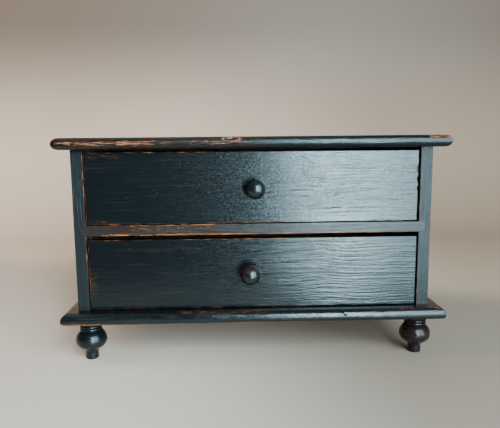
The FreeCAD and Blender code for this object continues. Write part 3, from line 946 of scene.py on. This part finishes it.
    def rail(self) -> None:
        """The rail between the drawers."""
        low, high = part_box("front_rail")
        board = block("rail", low, high)
        divide(board, Axis.X, round((high.x - low.x) / self.pitch))
        divide(board, Axis.Z, 3)
        ease(board, self.thin_arris, 2, 50)
        ends = 8 * MM
        roughen(board, (0.02, 0.02, 0.01), 0.2 * MM, lambda co: low.x + ends < co.x < high.x - ends)
        tidy(board)
        thin = (0.02, 0.001, 0.0009)
        worn = (
            Patch((-0.145, low.y, low.z), (-0.03, low.y + 1.2 * MM, low.z + 0.9 * MM), thin, 0.72),
            Patch((-0.03, low.y, low.z), (0.04, low.y + 1.2 * MM, low.z + 0.5 * MM), thin, 0.6),
            Patch((0.04, low.y, low.z), (high.x - 0.03, low.y + MM, low.z + 0.3 * MM), thin, 0.4),
            Patch((-0.13, low.y, low.z + 2 * MM), (-0.05, low.y + MM, high.z), (0.05, 0.001, 0.002), 0.3),
        )
        raw = (Patch((low.x, low.y + 8 * MM, low.z), (high.x, high.y, high.z), (0.002,) * 3),)
        paint = Paint(
            (low, high), worn=worn, raw=raw, edge_amount=0.25, rough=0.28, gloss=0.25, ridges=0.3, stipple=0.2,
            mottle=0.6, seed=5.0, film=(0.0155, 0.0125, 0.0125), brown=0.08,
        )
        hand_over(board, "front_rail", self.body, paint.material("paint_rail"))

    def foot_outline(self) -> Outline:
        """A foot's outline: toe, bun, two beads, collar and tenon."""
        toe, waist, cove, bun, neck, root, collar = 6.9, 6.7, 9.8, 16.3, 10.4, 10.6, 13.0
        bead, bead_tall, low_bead = 1.65, 3.0, 31.6
        outline = Outline(0.0, 0.0).line(toe - 1.2, 0.0).arc(toe, 1.2, 1.2, 4).line(waist, 7.0)
        outline.swell(cove, 12.0, waist, 6).swell(bun, 20.9, bun, 12).swell(neck, 31.2, bun, 12)
        outline.line(root, low_bead).arc(root, low_bead + bead_tall, bead, 8)
        outline.arc(root, low_bead + 2 * bead_tall, bead, 8).arc(collar, 40.6, -3.4, 6)
        return outline.line(collar, 43.0).line(5.0, 43.0).line(5.0, 52.0).line(0.0, 52.0)

    def feet(self) -> None:
        """The four feet: one is turned, and the others are copies of it."""
        pattern = None
        for number, node in enumerate(self.foot_nodes):
            low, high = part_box(node)
            middle = Vector(((low.x + high.x) / 2, (low.y + high.y) / 2, low.z))
            if pattern is None:
                pattern, pattern_middle = self.foot_outline().turn("foot", middle, Vector((0, 0, 1))), middle
                made = pattern
            else:
                take(pattern)
                bpy.ops.object.duplicate()
                made = bpy.context.object
                bpy.ops.transform.translate(value=middle - pattern_middle)
                bpy.ops.object.transform_apply(location=True, rotation=True, scale=True)
            brown, rough, gloss = (0.3, 0.23, 0.26) if node == "foot_front_right" else (0.0, 0.28, 0.4)
            ball = low.z + 21 * MM
            corners = (low.x, low.y, ball - 3 * MM), (high.x, high.y, ball + 4 * MM)
            worn = (Patch(*corners, (0.002, 0.002, 0.006), 0.14),)
            paint = Paint(
                (low, high), worn=worn, ridges=0.08, stipple=0.05, rough=rough, gloss=gloss, brown=brown,
                seed=7.0 + number, thin=(0.013, 0.004, 0.003), wood=(0.035, 0.009, 0.005), pale=(0.06, 0.018, 0.008),
            )
            hand_over(made, node, self.body, paint.material(f"paint_{node}"))

    def bare_parts(self) -> None:
        """The parts that keep their shape: runners and back boards of bare pine, darkened as painted shade for the
        inside of the case, and nails.
        """
        # Darkened pine: painted shade for the inside of the case, seen through the gaps round the drawers.
        shaded_pine = Pine((0.2, 0.125, 0.065), (0.11, 0.06, 0.03), (0.05, 0.035, 0.025))
        pine = {axis: shaded_pine.material(f"pine_case_{axis.name.lower()}", axis) for axis in (Axis.X, Axis.Y)}
        for node in ("left_runner", "right_runner"):
            dress_node(node, pine[Axis.Y])
        for node in ("back_upper_board", "back_lower_board"):
            dress_node(node, pine[Axis.X])
        iron = Iron().material("iron_case")
        for node in ("top_nails", "base_nails", "back_nails", "runner_nails"):
            dress_node(node, iron)


# ---------------------------------------- drawers


@dataclass
class Drawer:
    """One drawer.

    Attributes:
        body: The body that it is, which starts its nodes' names.
        seed: Moves its paint's patterns.
        worn_knob: How much brown shows on its knob.
        ridges: Height of the brush ridges on its front, in millimetres.
        gloss: How strongly its front mirrors.
        scratches: Patches of its front that are rubbed brown.
        chips: Bites out of its front.
        arris: Width of its front's eased edges.
        across: How many times its front is divided along X.
        upwards: How many times its front is divided along Z.
    """

    body: str
    seed: float
    worn_knob: float
    ridges: float
    gloss: float
    scratches: tuple[Patch, ...] = ()
    chips: tuple[Chip, ...] = ()
    arris: float = 0.7 * MM
    across: int = 80
    upwards: int = 44

    def build(self) -> None:
        """Builds and dresses the drawer."""
        self.front()
        self.knob()
        self.bare_parts()

    def front(self) -> None:
        """The front: brushed face, worn edges, dovetail sockets, groove and bore."""
        node = f"{self.body}_front"
        low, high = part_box(node)
        board = block(node, low, high)
        divide(board, Axis.X, self.across)
        divide(board, Axis.Z, self.upwards)
        ease(board, self.arris, 3, 50)
        face = low.y + 0.1 * MM
        roughen(board, (0.07, 0.02, 0.0035), 0.1 * MM, lambda co: co.y < face)
        rim = 1.2 * MM

        def on_arris(co: Vector) -> bool:
            """Says whether a point is on the face's border."""
            near = min(co.x - low.x, high.x - co.x, co.z - low.z, high.z - co.z)
            return near < rim and co.y < low.y + rim

        roughen(board, (0.006, 0.004, 0.004), 0.45 * MM, on_arris)
        subtract(board, [chip.cutter() for chip in self.chips])
        partners = ("left_side", "right_side", "bottom", "knob")
        subtract(board, [copy_of_node(f"{self.body}_{partner}") for partner in partners])
        tidy(board)
        hand_over(board, node, self.body, self.front_paint(low, high))

    def front_paint(self, low: Vector, high: Vector) -> bpy.types.Material:
        """The front's paint, with its edges rubbed and its back left bare."""
        fine = 0.4 * MM
        worn = (
            Patch((low.x, low.y, high.z - fine), (0.02, low.y + MM, high.z), (0.06, 0.001, 0.0006), 0.42),
            Patch((low.x, low.y, low.z), (0.05, low.y + MM, low.z + fine), (0.06, 0.001, 0.0006), 0.46),
            Patch((low.x, low.y, low.z), (low.x + fine, low.y + MM, high.z), (0.0006, 0.001, 0.01), 0.42),
            *self.scratches,
        )
        raw = (Patch((low.x, high.y - 0.3 * MM, low.z), (high.x, high.y, high.z), (0.001,) * 3),)
        paint = Paint(
            (low, high), worn=worn, raw=raw, edge=0.9 * MM, edge_amount=0.22, ridges=self.ridges, rough=0.205,
            gloss=self.gloss, seed=self.seed, brushed=(-0.05, 0.09), dabbed=(-0.13, -0.03), bare=Pine(),
        )
        return paint.material(f"paint_{self.body}_front")

    def knob(self) -> None:
        """The turned knob: seat, neck, domed head and tenon."""
        node = f"{self.body}_knob"
        low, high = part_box(node)
        face, reach, rim, rim_reach = 12.0, 23.0, 10.2, 14.0
        rise = reach - rim_reach
        dome = (rise**2 + rim**2) / (2 * rise)
        outline = Outline(0.0, 0.0).line(3.5, 0.0).line(3.5, face).line(6.2, face).line(6.2, face + 1.0)
        outline.arc(4.8, face + 5.4, -5.0, 6).arc(rim, face + rim_reach, 9.2, 14).arc(0.0, face + reach, dome, 14)
        foot = Vector(((low.x + high.x) / 2, high.y, (low.z + high.z) / 2))
        made = outline.turn(node, foot, Vector((0, -1, 0)))
        corners = (low.x, low.y, high.z - 6 * MM), (high.x, high.y - face * MM, high.z)
        paint = Paint(
            (low, high), Axis.Y, worn=(Patch(*corners, (0.004,) * 3, self.worn_knob),), ridges=0.06, stipple=0.03,
            rough=0.27, edge_amount=0.0, wood=(0.06, 0.022, 0.012), pale=(0.09, 0.04, 0.02), seed=self.seed + 3.0,
        )
        hand_over(made, node, self.body, paint.material(f"paint_{node}"))

    def bare_parts(self) -> None:
        """The parts that keep their shape: sides, back and bottom of bare pine, and nails."""
        pine = {axis: Pine().material(f"pine_{self.body}_{axis.name.lower()}", axis) for axis in (Axis.X, Axis.Y)}
        for part, axis in (("left_side", Axis.Y), ("right_side", Axis.Y), ("back", Axis.X), ("bottom", Axis.X)):
            dress_node(f"{self.body}_{part}", pine[axis])
        dress_node(f"{self.body}_nails", Iron().material(f"iron_{self.body}"))


# ---------------------------------------- studio


@dataclass
class Softbox:
    """A soft rectangular light.

    Attributes:
        name: Its name.
        place: Its middle, in metres.
        aim: The point that it faces.
        size: Its width and height.
        power: In watts.
        colour: Its light's colour.
        gleams: Whether gloss mirrors it.
    """

    name: str
    place: Point
    aim: Point
    size: tuple[float, float]
    power: float
    colour: Colour
    gleams: bool = True

    def build(self) -> None:
        """Hangs the light."""
        deselect()
        bpy.ops.object.light_add(type="AREA", location=self.place)
        lamp = bpy.context.object
        lamp.name = lamp.data.name = self.name
        lamp.data.shape = "RECTANGLE"
        lamp.data.size, lamp.data.size_y = self.size
        lamp.data.energy, lamp.data.color = self.power, self.colour
        lamp.rotation_euler = (Vector(self.aim) - Vector(self.place)).to_track_quat("-Z", "Y").to_euler()
        lamp.visible_camera = False
        lamp.visible_glossy = self.gleams
        LOG.info("light %s", self.name)


@dataclass
class Studio:
    """A pale sweep of floor, soft light and the camera.

    Attributes:
        eye: Where the camera is.
        yaw: Its turn to the right, in degrees.
        down: How far it looks down, in degrees.
        roll: Its roll, in degrees.
        lens: Its focal length, in millimetres.
        floor_half: Half the floor's width.
        sweep_at: Where the floor turns up into a wall, along Y.
        sweep_round: Radius of that turn.
        sweep_height: The wall's height.
        front_edge: Where the floor rolls down in front, along Y.
        front_round: Radius of that roll.
        front_drop: How far it falls there.
        softboxes: The lights.
    """

    eye: Point = (-20.18 * MM, -635.4 * MM, 230.6 * MM)
    yaw: float = 1.722
    down: float = 7.99
    roll: float = -0.527
    lens: float = 38.08
    floor_half: float = 4.0
    sweep_at: float = 1.1
    sweep_round: float = 0.5
    sweep_height: float = 1.6
    front_edge: float = -0.42
    front_round: float = 0.04
    front_drop: float = 0.7
    softboxes: tuple[Softbox, ...] = (
        Softbox("window", (0.86, -1.07, 0.42), (0.0, -0.1, 0.12), (0.93, 1.65), 62.0, (0.76, 0.94, 1.0)),
        Softbox("curtain", (0.345, -1.42, 0.42), (0.0, -0.1, 0.12), (0.24, 1.65), 58.0, (0.76, 0.94, 1.0)),
        Softbox("ceiling", (-0.3, 0.3, 1.8), (0.0, 0.2, 0.1), (1.6, 1.4), 7.0, (1.0, 0.93, 0.84)),
        Softbox("lamp", (-1.1, -0.05, 0.9), (0.1, 1.0, 0.25), (0.8, 1.0), 14.0, (1.0, 0.9, 0.78), False),
    )

    def build(self) -> None:
        """Sets up floor, lights, surroundings and camera."""
        self.floor()
        for softbox in self.softboxes:
            softbox.build()
        self.surroundings()
        self.camera()

    def floor(self) -> None:
        """A plain floor that curves up far behind the chest and rolls down in front of it. Its colour carries
        painted shade: the floor darkens to the right, and the wall darkens to the right and towards the top.
        """
        deselect()
        depth = self.sweep_at - self.front_edge
        bpy.ops.mesh.primitive_plane_add(size=1.0, location=(0.0, self.front_edge + depth / 2, 0.0))
        sweep = bpy.context.object
        sweep.name = sweep.data.name = "floor"
        sweep.scale = (2 * self.floor_half, depth, 1.0)
        bpy.ops.object.transform_apply(location=True, rotation=True, scale=True)
        back, front = self.sweep_at - 1e-4, self.front_edge + 1e-4

        def at_front(start: Vector, end: Vector) -> bool:
            """Says whether an edge is the floor's front one."""
            return start.y < front and end.y < front and start.z > -1e-4 and end.z > -1e-4

        def at_back(start: Vector, end: Vector) -> bool:
            """Says whether an edge is the floor's rear one."""
            return start.y > back and end.y > back and start.z < 1e-4 and end.z < 1e-4

        select_parts(sweep, "EDGE", at_back)
        bpy.ops.mesh.extrude_region_move(TRANSFORM_OT_translate={"value": (0.0, 0.0, self.sweep_height)})
        round_edges(sweep, self.sweep_round, 16, at_back)
        select_parts(sweep, "EDGE", at_front)
        bpy.ops.mesh.extrude_region_move(TRANSFORM_OT_translate={"value": (0.0, 0.0, -self.front_drop)})
        round_edges(sweep, self.front_round, 12, at_front)
        bpy.ops.object.shade_smooth_by_angle(angle=math.radians(40))
        graph = Graph("floor_paint")
        cloud = graph.noise(Axis.X, 0.25, 0.12, 3.0)
        grain = graph.noise(Axis.X, 0.06, 0.004, 3.0, 2.0)
        x, y, z = graph.parts()
        painted_wall_shade, under = x.ramp(-0.3, 0.5), x.ramp(-0.15, 0.17)
        boards = graph.mix(cloud * 0.6 + grain * 0.25, (0.52, 0.44, 0.38), (0.6, 0.52, 0.45))
        # Painted shadow: the floor turns dark brown from the middle to the right, standing in for the chest's shadow
        # there.
        boards = graph.mix(under, boards, (0.225, 0.185, 0.15))
        # Painted light and shade on the wall: pale low on the left, darker to the right and towards the top.
        wall = graph.mix(painted_wall_shade, (0.72, 0.55, 0.43), (0.37, 0.27, 0.2))
        wall = graph.mix(z.ramp(0.12, 0.62), wall, (0.155, 0.112, 0.084))
        colour = graph.mix((y + x * 0.35).ramp(0.16, 0.3), boards, wall)
        sweep.data.materials.append(graph.close(colour, 0.5 + grain * 0.1, grain * 0.05))

    def surroundings(self) -> None:
        """A dim room, pale to the eye."""
        world = bpy.data.worlds.new("room")
        bpy.context.scene.world = world
        world.use_nodes = True
        nodes, links = world.node_tree.nodes, world.node_tree.links
        nodes.clear()
        path = nodes.new("ShaderNodeLightPath")
        mix = nodes.new("ShaderNodeMixShader")
        dim, pale = nodes.new("ShaderNodeBackground"), nodes.new("ShaderNodeBackground")
        dim.inputs["Color"].default_value = (0.75, 0.82, 0.9, 1.0)
        dim.inputs["Strength"].default_value = 0.08
        pale.inputs["Color"].default_value = (0.6, 0.56, 0.51, 1.0)
        pale.inputs["Strength"].default_value = 1.3
        links.new(path.outputs["Is Camera Ray"], mix.inputs[0])
        links.new(dim.outputs[0], mix.inputs[1])
        links.new(pale.outputs[0], mix.inputs[2])
        links.new(mix.outputs[0], nodes.new("ShaderNodeOutputWorld").inputs["Surface"])

    def camera(self) -> None:
        """Places the camera."""
        deselect()
        bpy.ops.object.camera_add(location=self.eye)
        camera = bpy.context.object
        camera.name = camera.data.name = "camera"
        camera.data.lens = self.lens
        camera.data.sensor_width = 36.0
        camera.data.dof.use_dof = False
        yaw, down, roll = (math.radians(angle) for angle in (self.yaw, self.down, self.roll))
        upright = Euler((math.pi / 2 - down, 0.0, -yaw)).to_matrix()
        camera.rotation_euler = (upright @ Euler((0.0, 0.0, roll)).to_matrix()).to_euler()
        bpy.context.scene.camera = camera


# ---------------------------------------- whole chest


def drawers() -> tuple[Drawer, Drawer]:
    """Both drawers, upper first."""
    fade = (0.02, 0.001, 0.0012)
    low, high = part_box("upper_drawer_front")
    edge = high.x + 0.2 * MM
    upper = Drawer("upper_drawer", 11.0, 0.15, 0.6, 0.5, (
        Patch((-0.168, low.y, high.z - 6 * MM), (-0.14, low.y + MM, high.z - 3 * MM), fade, 0.36),
        Patch((-0.165, low.y, low.z + 2 * MM), (-0.15, low.y + MM, low.z + 4 * MM), fade, 0.33),
    ), (
        Chip((edge, low.y, low.z + 54 * MM), (4.4 * MM, 4 * MM, 9 * MM)),
        Chip((edge, low.y, low.z + 43 * MM), (3.6 * MM, 4 * MM, 7 * MM)),
        Chip((edge, low.y, low.z + 34 * MM), (3.2 * MM, 3.5 * MM, 6 * MM)),
        Chip((edge, low.y, low.z + 6 * MM), (2.2 * MM, 2.5 * MM, 7 * MM)),
        Chip((-6 * MM, low.y, low.z + 8 * MM), (2.2 * MM, 1.2 * MM, 1.4 * MM)),
    ))
    low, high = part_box("lower_drawer_front")
    edge = high.x + 0.2 * MM
    lower = Drawer("lower_drawer", 23.0, 0.36, 0.55, 0.4, (
        Patch((-0.14, low.y, high.z - 12 * MM), (-0.06, low.y + MM, high.z - 9 * MM), fade, 0.24),
        Patch((-0.17, low.y, high.z - 55 * MM), (-0.164, low.y + MM, high.z - 35 * MM), (0.003, 0.001, 0.01), 0.3),
    ), (
        Chip((edge - 4 * MM, low.y, low.z + 9 * MM), (7 * MM, 1.4 * MM, 1.8 * MM)),
        Chip((edge, low.y, low.z + 6 * MM), (2 * MM, 2.5 * MM, 5 * MM)),
        Chip((edge, low.y, low.z + 20 * MM), (1.6 * MM, 2 * MM, 4 * MM)),
    ))
    return upper, lower


def main() -> None:
    """Builds every piece, then the studio."""
    logging.basicConfig(level=logging.INFO, format="%(name)s: %(message)s")
    Studio().build()
    Case().build()
    for drawer in drawers():
        drawer.build()


if __name__ == "__main__":
    main()
